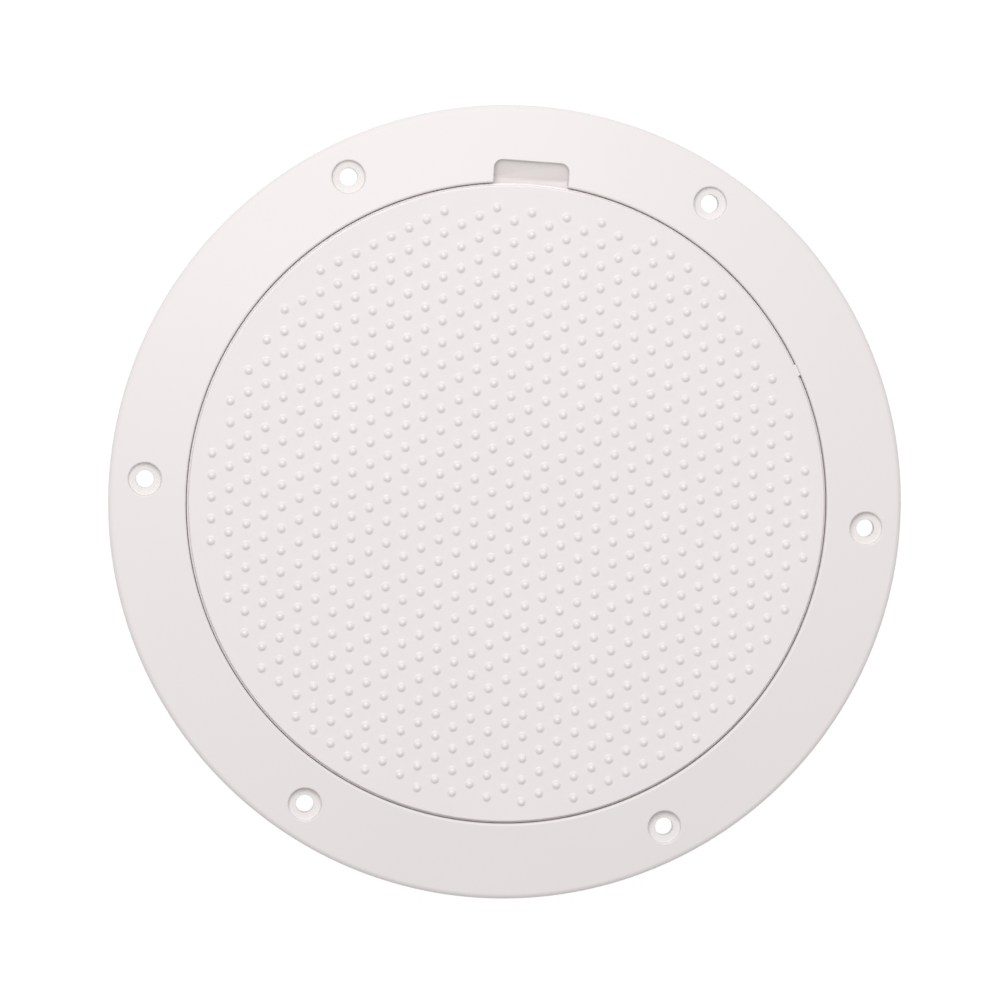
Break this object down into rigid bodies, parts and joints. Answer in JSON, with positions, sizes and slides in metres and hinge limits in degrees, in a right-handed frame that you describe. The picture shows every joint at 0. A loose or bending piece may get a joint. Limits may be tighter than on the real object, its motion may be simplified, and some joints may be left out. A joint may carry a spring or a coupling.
{
  "type": "deck inspection plate",
  "caption": "Round flanged deck plate with a beaded press-in lid, a pry notch, a rubber seal and a ring of counterbored screw holes.",
  "frame": {"origin": "on the plate's axis, at the height of the flange's underside, which lies on the deck", "axes": "+Z out of the deck along the plate's axis, +Y towards the pry notch, +X towards a screw hole"},
  "size_m": [0.2032, 0.2032, 0.0258],
  "materials": {
    "frame_plastic": "glossy moulded white plastic",
    "lid_plastic": "satin moulded white plastic with raised beads",
    "seal_rubber": "black moulded rubber"
  },
  "bodies": {
    "frame": {"deck_frame": "frame_plastic"},
    "lid": {"lid": "lid_plastic", "lid_o_ring": "seal_rubber"}
  },
  "joints": [
    {"name": "lid_lift", "type": "slide", "parent": "frame", "child": "lid", "axis": [0, 0, 1], "range_m": [0, 0.04]}
  ]
}
